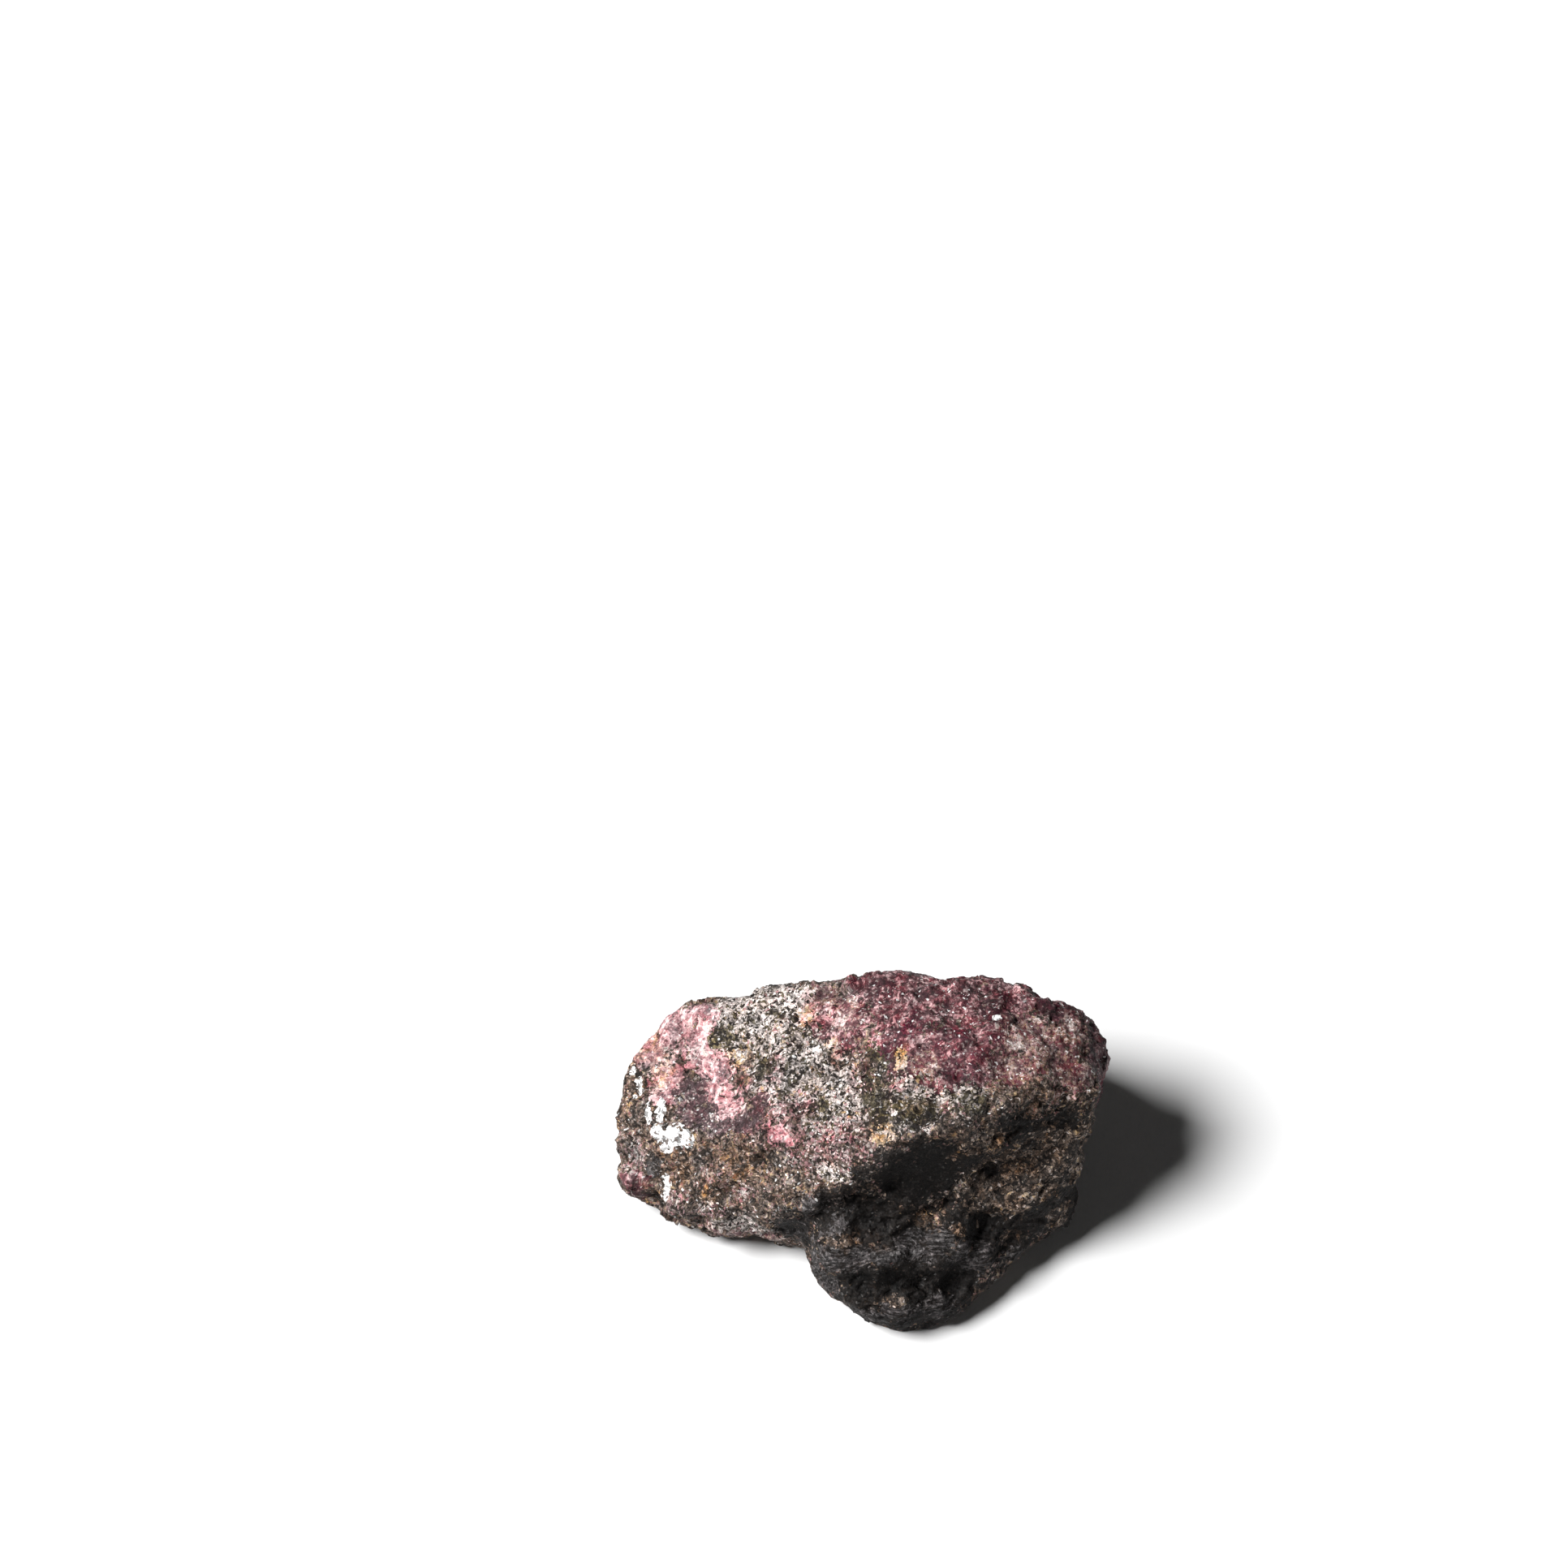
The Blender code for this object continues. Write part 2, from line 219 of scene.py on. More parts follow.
# Ridges and pits that the skin has besides its even relief, in the same form, each with its height in
# millimetres: the pits along the dark bulge, its ridges, the knobs and grooves of the left foot, the ledge
# under the dish, and a few at the back.
SHAPES = [
    (0.1, -15.5, 7.2, 2.1, 1.4, -0.6), (3.1, -15.0, 7.4, 1.9, 1.3, -0.6),
    (6.0, -14.7, 6.6, 1.9, 1.4, -0.55), (8.9, -13.8, 5.2, 1.4, 1.3, -0.5),
    (4.7, -10.8, 9.8, 1.9, 1.2, -0.5), (11.7, -10.0, 8.4, 2.5, 1.6, -0.5),
    (14.8, -9.3, 6.0, 2.5, 1.1, -0.5), (-1.6, -9.0, 12.4, 1.9, 1.4, -0.6),
    (1.1, -9.5, 11.4, 1.7, 1.4, -0.6), (5.9, -7.7, 16.9, 3.1, 3.2, -0.5),
    (2.8, -10.3, 10.6, 1.9, 1.0, -0.5), (-6.2, -9.4, 7.0, 1.4, 2.0, -0.5),
    (-3.2, -13.6, 9.2, 1.7, 1.0, 0.4), (2.5, -12.9, 9.5, 2.4, 0.8, 0.4), (7.6, -11.4, 9.1, 1.7, 0.9, 0.4),
    (10.0, -11.7, 8.1, 1.1, 1.0, 0.5), (12.1, -11.5, 6.1, 1.7, 0.8, 0.5),
    (14.9, -9.8, 4.7, 2.5, 0.6, 0.5), (6.9, -16.0, 4.3, 1.7, 1.0, 0.4), (2.6, -17.1, 4.4, 2.5, 0.8, 0.4),
    (-20.6, -4.5, 5.0, 0.9, 1.0, -1.0), (-23.0, -2.8, 5.3, 1.6, 1.5, 0.5),
    (-18.1, -6.0, 6.3, 1.4, 1.0, 0.4), (-13.1, -7.5, 4.9, 1.7, 1.0, 0.4),
    (-15.8, -7.1, 5.6, 0.7, 0.8, -0.6), (-11.0, -7.8, 3.7, 0.7, 0.7, -0.5),
    (-23.3, -0.7, 7.8, 1.1, 0.7, -0.4), (-15.5, -1.5, 12.0, 1.7, 0.6, -0.45),
    (-12.5, -3.1, 13.4, 1.7, 0.6, -0.45), (-10.1, -4.7, 14.3, 1.4, 0.6, -0.4),
    (-14.5, -4.8, 11.3, 1.9, 1.3, 0.4), (-13.5, -6.0, 10.4, 1.4, 0.8, -0.4),
    (-19.8, 1.2, 10.9, 1.4, 1.9, 0.3), (-14.8, 5.7, 13.2, 1.0, 3.4, 0.3),
    (13.4, -2.8, 22.9, 2.5, 1.0, 0.3), (2.0, 14.0, 7.0, 2.4, 1.6, -0.6),
    (-8.0, 13.0, 9.0, 2.0, 2.0, -0.5), (16.0, 11.5, 9.0, 2.4, 1.6, -0.5),
    (8.0, 13.0, 12.0, 3.0, 1.4, 0.4),
]

# Where the skin is smoother than elsewhere: the worn dish on top and the broken hollow in the front.
SMOOTH_PATCHES = [
    (-16.5, 2.5, 11.8, 3.4, 4.0), (-13.0, -0.8, 13.4, 3.4, 2.4), (5.9, -7.0, 17.0, 3.6, 3.8),
]
SMOOTHED_SHARE = 0.72

# Points below the first height, in millimetres, are laid on the floor. The relief fades in between the two.
FOOT_HEIGHT = 0.15
FADE_HEIGHT = 1.0

# How far a facet leans and how far it steps up or down, as shares of its height.
FACET_LEAN = 1.7
FACET_STEP = 0.9

# How far the patterns of each size of facet and grain are moved aside, in millimetres.
CHIP_SHIFT = 11
KNOB_SHIFT = 37
GRAIN_SHIFT = 23
COARSE_SHIFT = 0
FINE_SHIFT = 40
SPECK_SHIFT = 80

# Shares of the grains: the fine ones, the smallest ones that lie over them, the specks that are light,
# painted near white as glints, or dark, and the fine grains that glint.
FINE_SHARE = 0.6
SPECK_SHARE = 0.25
LIGHT_SPECK_SHARE = 0.08
PAINTED_GLINT_SHARE = 0.015
DARK_SPECK_SHARE = 0.12
GLINT_SHARE = 0.28
# How wide the dark gap between two grains is, as a share of their size.
GAP_WIDTH = 0.14
STONE_ROUGHNESS = 0.54
STONE_SPECULAR = 0.15
# Height of the fine grit, in millimetres.
GRIT_HEIGHT = 0.25

# What the grains of each zone are made of: share of the grains, colour in the settings, and how light it is.
PALETTES = {
    "brown": [
        (0.13, "black", 1.3), (0.20, "brown", 0.5), (0.23, "brown", 0.95), (0.17, "brown", 1.5),
        (0.11, "rose", 1.1), (0.08, "white", 0.75), (0.08, "tan", 0.8),
    ],
    "mauve": [
        (0.22, "wine", 0.45), (0.24, "rose", 0.36), (0.22, "rose", 0.64), (0.16, "rose", 1.05),
        (0.10, "pink", 0.7), (0.06, "pink", 1.2),
    ],
    "wine": [
        (0.24, "wine", 0.45), (0.32, "wine", 0.95), (0.24, "rose", 0.62), (0.14, "rose", 1.1),
        (0.06, "pink", 0.9),
    ],
    "pale": [
        (0.14, "rose", 0.45), (0.20, "rose", 0.85), (0.22, "pink", 0.42), (0.18, "tan", 0.55),
        (0.16, "pink", 0.95), (0.10, "white", 1.1),
    ],
    "pink": [
        (0.10, "lilac", 1.5), (0.18, "rose", 1.5), (0.22, "pink", 0.8), (0.26, "pink", 1.15),
        (0.17, "pink", 1.45), (0.07, "white", 1.4),
    ],
    "lilac": [
        (0.18, "lilac", 0.4), (0.30, "lilac", 0.62), (0.26, "lilac", 0.85), (0.14, "lilac", 1.3),
        (0.09, "rose", 1.0), (0.03, "white", 0.8),
    ],
    "pepper": [
        (0.22, "black", 1.0), (0.12, "olive", 0.7), (0.08, "grey", 1.7), (0.19, "white", 0.8),
        (0.26, "white", 1.4), (0.08, "pink", 0.95), (0.05, "tan", 1.1),
    ],
    # Painted light: the pepper grains made lighter.
    "painted_lit_pepper": [
        (0.14, "black", 1.6), (0.14, "olive", 1.0), (0.12, "grey", 2.2), (0.26, "white", 1.2),
        (0.26, "white", 1.8), (0.08, "pink", 1.2),
    ],
    "olive": [
        (0.28, "black", 0.9), (0.27, "olive", 0.4), (0.22, "olive", 0.95), (0.15, "olive", 1.9),
        (0.08, "white", 0.8),
    ],
    "cream": [
        (0.12, "black", 1.5), (0.20, "tan", 0.8), (0.28, "tan", 1.4), (0.24, "white", 1.3),
        (0.16, "white", 1.7),
    ],
    "chalk": [
        (0.20, "black", 1.6), (0.20, "brown", 0.9), (0.24, "pink", 0.66), (0.20, "white", 0.8),
        (0.16, "white", 1.2),
    ],
    "slate": [(0.20, "black", 1.2), (0.34, "slate", 0.4), (0.30, "slate", 0.8), (0.16, "slate", 1.5)],
    # Dark mineral, darkened further as painted shade.
    "charcoal_and_shade": [
        (0.42, "black", 0.5), (0.32, "grey", 0.1), (0.17, "grey", 0.22), (0.07, "brown", 0.7),
        (0.02, "white", 0.3),
    ],
    "gritty": [
        (0.23, "black", 1.0), (0.22, "brown", 0.45), (0.20, "brown", 1.1), (0.15, "brown", 2.1),
        (0.12, "white", 0.9), (0.08, "tan", 1.0),
    ],
    "dark_ridge_band": [
        (0.36, "black", 0.7), (0.28, "grey", 0.17), (0.19, "grey", 0.42), (0.10, "brown", 0.8),
        (0.07, "white", 0.5),
    ],
    "fibrous": [
        (0.23, "black", 0.8), (0.25, "slate", 0.26), (0.25, "slate", 0.64), (0.20, "slate", 1.15),
        (0.07, "grey", 1.6),
    ],
    # Painted shade for the broken hollow on the front.
    "painted_hollow_shade": [(0.55, "black", 0.3), (0.30, "black", 0.7), (0.15, "grey", 0.16)],
    # Silvery flakes, partly painted glint.
    "mica_glint": [(0.10, "grey", 1.2), (0.14, "silver", 0.3), (0.76, "silver", 1.0)],
}


def length_mm(name, description, default):
    """A length setting whose default is given in millimetres."""
    return FloatProperty(
        name=name, description=description, default=default * MM, subtype="DISTANCE", unit="LENGTH"
    )


def number(name, description, default, least=0.0):
    return FloatProperty(name=name, description=description, default=default, min=least)


def colour(name, description, default):
    return FloatVectorProperty(
        name=name, description=description, default=default, size=3, subtype="COLOR", min=0, max=1,
        precision=3,
    )


def angle(name, description, degrees):
    return FloatProperty(
        name=name, description=description, default=math.radians(degrees), subtype="ANGLE", unit="ROTATION"
    )


class RhodoniteStoneSettings(bpy.types.PropertyGroup):
    """Sizes and mineral colours of the stone."""

    skin_voxel: length_mm("Skin voxel", "Edge length of the fine mesh that carries the relief", 0.245)
    smooth_passes: IntProperty(
        name="Smoothing", description="Passes that round the skin off under the relief", default=5, min=0
    )
    chip_size: length_mm("Chip size", "Width of the broken facets", 3.1)
    chip_height: length_mm("Chip height", "How far a broken facet tilts out of the face", 0.42)
    knob_size: length_mm("Knob size", "Width of the knobs on the broken facets", 1.5)
    knob_height: length_mm("Knob height", "How far a knob stands out of the skin", 0.17)
    grain_size: length_mm("Grain size", "Width of the grains that stand out of the skin", 0.75)
    grain_height: length_mm("Grain height", "How far a grain stands out of the skin", 0.1)
    swell_height: length_mm("Swell height", "Height of the uneven swell under the grains", 0.5)
    pit_depth: length_mm("Pit depth", "Depth of the small pits between the grains", 0.25)
    shape_height: number("Shape height", "Share of their height that the marked ridges and pits get", 1.0)
    streak_height: length_mm("Streak height", "Height of the fibrous streaks on the dark bulge", 0.35)
    coarse_grain: length_mm("Coarse mineral grain", "Width of the larger coloured grains", 0.62)
    fine_grain: length_mm("Fine mineral grain", "Width of the smaller coloured grains", 0.33)
    speck: length_mm("Speck", "Width of the smallest light and dark specks", 0.19)
    facet_tilt: number("Facet tilt", "How far the crystal facets lean away from the skin", 0.55)
    black: colour("Black grains", "Colour of the darkest grains", (0.015, 0.011, 0.009))
    grey: colour("Grey grains", "Colour of the grey grains", (0.116, 0.099, 0.092))
    slate: colour("Slate grains", "Colour of the slate-grey grains", (0.120, 0.108, 0.108))
    white: colour("White grains", "Colour of the whitish grains", (0.50, 0.43, 0.40))
    brown: colour("Brown ground", "Colour of the grey-brown ground", (0.130, 0.094, 0.073))
    rose: colour("Rhodonite", "Colour of the dusky rose rhodonite", (0.180, 0.069, 0.078))
    wine: colour("Deep rhodonite", "Colour of the deepest rhodonite", (0.088, 0.026, 0.038))
    pink: colour("Pale rhodonite", "Colour of the pale pink rhodonite", (0.44, 0.250, 0.258))
    lilac: colour("Lilac", "Colour of the smooth lilac-grey face", (0.100, 0.060, 0.065))
    tan: colour("Tan grains", "Colour of the tan grains", (0.42, 0.30, 0.185))
    ochre: colour("Ochre stain", "Colour of the ochre stains", (0.40, 0.228, 0.13))
    rust: colour("Rust stain", "Colour of the rusty stains", (0.14, 0.075, 0.040))
    olive: colour("Olive grains", "Colour of the olive-grey grains", (0.116, 0.094, 0.058))
    # This colour also serves the specks painted as glints and the painted glint of the silvery flakes.
    silver: colour("Mica", "Colour of the silvery flakes", (0.88, 0.87, 0.86))


class RhodoniteStageSettings(bpy.types.PropertyGroup):
    """The floor, the light and the camera."""

    floor_size: length_mm("Floor size", "Edge length of the square floor", 6000)
    floor_colour: colour("Floor colour", "Colour of the floor as the camera sees it", (0.67, 0.67, 0.67))
    floor_bounce: colour("Floor bounce", "Colour of the light the floor throws back", (0.48, 0.48, 0.48))
    key_strength: number("Key strength", "Strength of the key light", 7.0)
    key_elevation: angle("Key elevation", "Height of the key light above the floor", 50)
    key_turn: angle("Key turn", "Turn of the key light from straight left towards the viewer", 8)
    key_width: angle("Key width", "Width of the key light as the stone sees it", 26)
    fill_strength: number("Fill strength", "Strength of the fill light", 0.5)
    fill_elevation: angle("Fill elevation", "Height of the fill light above the floor", 5)
    fill_turn: angle("Fill turn", "Turn of the fill light from straight right towards the viewer", 50)
    fill_width: angle("Fill width", "Width of the fill light as the stone sees it", 40)
    ambient: number("Ambient", "Brightness of the light from all round", 0.02)
    lens: number("Lens", "Focal length of the camera in millimetres", 134.16, least=1.0)
    sensor_width: number("Sensor width", "Width of the camera's sensor in millimetres", 36.0, least=1.0)
    camera_place: FloatVectorProperty(
        name="Camera place", description="Where the camera stands", default=(-0.00774, -0.29637, 0.52087),
        size=3, subtype="TRANSLATION", unit="LENGTH", precision=5,
    )
    camera_tilt: angle("Camera tilt", "Turn of the camera up from looking straight down", 33.6)


class Nodes:
    """Adds nodes to a tree and wires them. A value may be a number, a vector or another node's socket."""

    def __init__(self, tree):
        self.tree = tree

    def add(self, kind, values=None, **settings):
        node = self.tree.nodes.new(kind)
        for key, value in settings.items():
            setattr(node, key, value)
        for key, value in (values or {}).items():
            self.put(node.inputs[key], value)
        return node

    def put(self, socket, value):
        if isinstance(value, bpy.types.NodeSocket):
            self.tree.links.new(value, socket)
        else:
            socket.default_value = value

    def math(self, operation, a, b=0.0):
        return self.add("ShaderNodeMath", {0: a, 1: b}, operation=operation).outputs[0]

    def vector(self, operation, a, b=(0, 0, 0)):
        node = self.add("ShaderNodeVectorMath", {0: a, 1: b}, operation=operation)
        return node.outputs["Value" if operation in {"LENGTH", "DOT_PRODUCT"} else "Vector"]

    def scaled(self, a, factor):
        node = self.add("ShaderNodeVectorMath", {0: a, "Scale": factor}, operation="SCALE")
        return node.outputs["Vector"]

    def ramp(self, value, low, high, out_low=0.0, out_high=1.0):
        values = {"Value": value, "From Min": low, "From Max": high, "To Min": out_low, "To Max": out_high}
        return self.add("ShaderNodeMapRange", values, interpolation_type="SMOOTHSTEP").outputs["Result"]

    def noise(self, place, scale, detail=2.0, roughness=0.5):
        values = {"Vector": place, "Scale": scale, "Detail": detail, "Roughness": roughness}
        return self.add("ShaderNodeTexNoise", values)

    def shaken(self, place, scale, reach, detail=2.0):
        """The place moved about by noise, by up to half of reach."""
        shake = self.vector("SUBTRACT", self.noise(place, scale, detail).outputs["Color"], HALF)
        return self.vector("ADD", place, self.scaled(shake, reach))

    def attribute(self, name, output="Fac"):
        return self.add("ShaderNodeAttribute", attribute_name=name).outputs[output]

    def between(self, factor, a, b):
        """The second number over the first, by the factor."""
        return self.add("ShaderNodeMix", {0: factor, 2: a, 3: b}).outputs[0]

    def mixed(self, factor, a, b, blend="MIX"):
        """The second colour over the first, by the factor."""
        node = self.add("ShaderNodeMix", data_type="RGBA", blend_type=blend)
        for index, value in ((0, factor), (6, a), (7, b)):
            self.put(node.inputs[index], value)
        return node.outputs[2]

    def patches(self, place, patches, soft):
        """One inside a list of patches, nought outside them, with a soft edge."""
        total = None
        for x, y, z, half_width, half_height in patches:
            offset = self.vector("SUBTRACT", place, (x, y, z))
            offset = self.vector("DIVIDE", offset, (half_width, half_height, half_height))
            inside = self.ramp(self.vector("LENGTH", offset), 1 + soft, 1 - soft)
            total = inside if total is None else self.math("MAXIMUM", total, inside)
        return total


def only(obj):
    """Selects this object alone and makes it active."""
    bpy.ops.object.select_all(action="DESELECT")
    obj.select_set(True)
    bpy.context.view_layer.objects.active = obj


def apply_modifier(obj, kind, name, **settings):
    only(obj)
    modifier = obj.modifiers.new(name, kind)
    for key, value in settings.items():
        setattr(modifier, key, value)
    bpy.ops.object.modifier_apply(modifier=modifier.name)


def copy_of_node(node, name):
    """A copy of a CAD node, with its doubled points merged."""
    only(frame["nodes"][node])
    bpy.ops.object.duplicate()
    copy = bpy.context.view_layer.objects.active
    copy.name = name
    copy.data.name = name
    bpy.ops.object.parent_clear(type="CLEAR_KEEP_TRANSFORM")
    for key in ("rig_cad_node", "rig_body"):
        if key in copy:
            del copy[key]
    apply_modifier(copy, "WELD", "merged_points", merge_threshold=0.01 * MM)
    return copy


def facets(n, place, size, height, shift):
    """Height of a broken skin: cells whose tops are planes that lean at random and stand at random heights.

    The pattern is moved aside by shift, so that no two sizes of facet line up.
    """
    shifted = n.vector("ADD", n.shaken(place, 1.2 / size, 0.3 * size), (shift, 0, 0))
    cell = n.add("ShaderNodeTexVoronoi", {"Vector": shifted, "Scale": 1 / size})
    random = n.vector("SUBTRACT", cell.outputs["Color"], HALF)
    from_middle = n.vector("SUBTRACT", shifted, cell.outputs["Position"])
    lean = n.math("MULTIPLY", n.vector("DOT_PRODUCT", from_middle, random), FACET_LEAN * height / size)
    step = n.math("MULTIPLY", n.vector("DOT_PRODUCT", random, (0.6, 0.5, 0.4)), FACET_STEP * height)
    return n.math("ADD", lean, step)


def marked_shapes(n, place):
    """How far the marked ridges stand out and the marked pits go in."""
    out = 0.0
    into = 0.0
    for *patch, height in SHAPES:
        field = n.math("MULTIPLY", n.patches(place, [patch], SHAPE_SOFTNESS), abs(height))
        if height > 0:
            out = n.math("MAXIMUM", out, field)
        else:
            into = n.math("MAXIMUM", into, field)
    return n.math("SUBTRACT", out, into)


def mineral_fields(n, place):
    """How deep each point lies in each zone and stain, from nought outside to one inside."""
    wide = n.shaken(place, 0.35, 3.0, 4.0)
    close = n.shaken(place, 0.9, 1.3, 3.0)
    fields = {}
    for name, patches in ZONES.items():
        if name in SMALL_ZONES:
            fields[name] = n.patches(close, patches, SMALL_SOFTNESS)
        else:
            fields[name] = n.patches(wide, patches, ZONE_SOFTNESS)
    for name, patches in STAINS.items():
        fields[name] = n.patches(wide, patches, STAIN_SOFTNESS)
    return fields


def streak_height(n, place, settings):
    """The fibres' ridges, which run mostly along x and swirl a little."""
    along = n.vector("MULTIPLY", n.shaken(place, 0.12, 7.0), (0.3, 1.5, 1.9))
    streaks = n.math("SUBTRACT", n.noise(along, 1.0, 3.0, 0.55).outputs[0], 0.5)
    return n.math("MULTIPLY", streaks, 2.2 * settings.streak_height / MM)


def relief_height(n, place, settings, fibrous):
    """How far the skin stands out or in at each point, in millimetres."""
    chips = facets(n, place, settings.chip_size / MM, settings.chip_height / MM, CHIP_SHIFT)
    knobs = facets(n, place, settings.knob_size / MM, settings.knob_height / MM, KNOB_SHIFT)
    grains = facets(n, place, settings.grain_size / MM, settings.grain_height / MM, GRAIN_SHIFT)
    swell = n.math("SUBTRACT", n.noise(place, 0.5, 3.0, 0.6).outputs[0], 0.5)
    swell = n.math("MULTIPLY", swell, 2 * settings.swell_height / MM)
    pits = n.ramp(n.noise(place, 0.95, 2.0, 0.6).outputs[0], 0.6, 0.75)
    pits = n.math("MULTIPLY", pits, settings.pit_depth / MM)
    height = n.math("ADD", n.math("ADD", chips, knobs), n.math("ADD", grains, swell))
    height = n.math("SUBTRACT", height, pits)

    rough = n.ramp(n.noise(place, 0.28, 3.0).outputs[0], 0.35, 0.65, 0.6, 1.25)
    rough = n.math("MULTIPLY", rough, n.math("SUBTRACT", 1.0, n.math("MULTIPLY", fibrous, 0.5)))
    height = n.math("MULTIPLY", height, rough)
    smooth = n.math("MULTIPLY", n.patches(place, SMOOTH_PATCHES, SMOOTH_SOFTNESS), SMOOTHED_SHARE)
    height = n.math("MULTIPLY", height, n.math("SUBTRACT", 1.0, smooth))

    streaks = n.math("MULTIPLY", streak_height(n, place, settings), fibrous)
    marked = n.math("MULTIPLY", marked_shapes(n, n.shaken(place, 0.6, 2.2, 4.0)), settings.shape_height)
    height = n.math("ADD", n.math("ADD", height, streaks), marked)
    above_floor = n.add("ShaderNodeSeparateXYZ", {0: place}).outputs["Z"]
    return n.math("MULTIPLY", height, n.ramp(above_floor, FOOT_HEIGHT, FADE_HEIGHT))


def kept_on_points(n, geometry, values):
    """Stores numbers and places on the mesh's points, under the names given."""
    for name, (data_type, value) in values.items():
        node = n.add("GeometryNodeStoreNamedAttribute", data_type=data_type, domain="POINT")
        n.put(node.inputs["Geometry"], geometry)
        n.put(node.inputs["Name"], name)
        n.put(node.inputs["Value"], value)
        geometry = node.outputs["Geometry"]
    return geometry


def relief_tree(settings):
    """Geometry nodes that store where each mineral lies and raise the chips, grains, pits and streaks."""
    tree = bpy.data.node_groups.new("stone_relief", "GeometryNodeTree")
    tree.interface.new_socket("Geometry", in_out="INPUT", socket_type="NodeSocketGeometry")
    tree.interface.new_socket("Geometry", in_out="OUTPUT", socket_type="NodeSocketGeometry")
    n = Nodes(tree)
    place = n.scaled(n.add("GeometryNodeInputPosition").outputs["Position"], 1 / MM)
    normal = n.add("GeometryNodeInputNormal").outputs["Normal"]
    fields = mineral_fields(n, place)
    height = relief_height(n, place, settings, fields["fibrous"])

    kept = {"zone_" + name: ("FLOAT", field) for name, field in fields.items()}
    kept["raised_mm"] = ("FLOAT", height)
    kept["rest_mm"] = ("FLOAT_VECTOR", place)
    geometry = kept_on_points(n, n.add("NodeGroupInput").outputs["Geometry"], kept)

    # Points that end up next to the floor are laid on it, so that the foot stays flat.
    moved = n.add("ShaderNodeSeparateXYZ", {0: n.vector("ADD", place, n.scaled(normal, height))})
    off_foot = n.math("GREATER_THAN", moved.outputs["Z"], FOOT_HEIGHT)
    lifted = n.math("MULTIPLY", moved.outputs["Z"], off_foot)
    end = n.add("ShaderNodeCombineXYZ", {0: moved.outputs["X"], 1: moved.outputs["Y"], 2: lifted})
    values = {"Geometry": geometry, "Position": n.scaled(end.outputs[0], MM)}
    geometry = n.add("GeometryNodeSetPosition", values).outputs["Geometry"]
    n.add("NodeGroupOutput", {"Geometry": geometry})
    return tree


def grain_group():
    """Random values, a random lean and the gap at the edge, for the mineral grains of a given size."""
    tree = bpy.data.node_groups.new("mineral_grains", "ShaderNodeTree")
    tree.interface.new_socket("Place", in_out="INPUT", socket_type="NodeSocketVector")
    tree.interface.new_socket("Size", in_out="INPUT", socket_type="NodeSocketFloat")
    for name in ("Kind", "Choice", "Shine", "Gap"):
        tree.interface.new_socket(name, in_out="OUTPUT", socket_type="NodeSocketFloat")
    tree.interface.new_socket("Lean", in_out="OUTPUT", socket_type="NodeSocketVector")
    n = Nodes(tree)
    given = n.add("NodeGroupInput").outputs
    values = {"Vector": given["Place"], "Scale": n.math("DIVIDE", 1.0, given["Size"])}
    cell = n.add("ShaderNodeTexVoronoi", values).outputs["Color"]
    kind, choice, shine = n.add("ShaderNodeSeparateXYZ", {0: cell}).outputs
    to_edge = n.add("ShaderNodeTexVoronoi", values, feature="DISTANCE_TO_EDGE").outputs["Distance"]
    gap = n.ramp(to_edge, 0.0, GAP_WIDTH)
    lean = n.vector("SUBTRACT", cell, HALF)
    n.add("NodeGroupOutput", {"Kind": kind, "Choice": choice, "Shine": shine, "Gap": gap, "Lean": lean})
    return tree


def streak_group():
    """Noise drawn out along the fibres of the dark bulge."""
    tree = bpy.data.node_groups.new("fibre_streaks", "ShaderNodeTree")
    tree.interface.new_socket("Place", in_out="INPUT", socket_type="NodeSocketVector")
    tree.interface.new_socket("Streak", in_out="OUTPUT", socket_type="NodeSocketFloat")
    n = Nodes(tree)
    place = n.shaken(n.add("NodeGroupInput").outputs["Place"], 0.12, 7.0)
    along = n.vector("MULTIPLY", place, (0.55, 2.8, 3.5))
    streak = n.ramp(n.noise(along, 1.0, 5.0, 0.66).outputs[0], 0.36, 0.64)
    n.add("NodeGroupOutput", {"Streak": streak})
    return tree


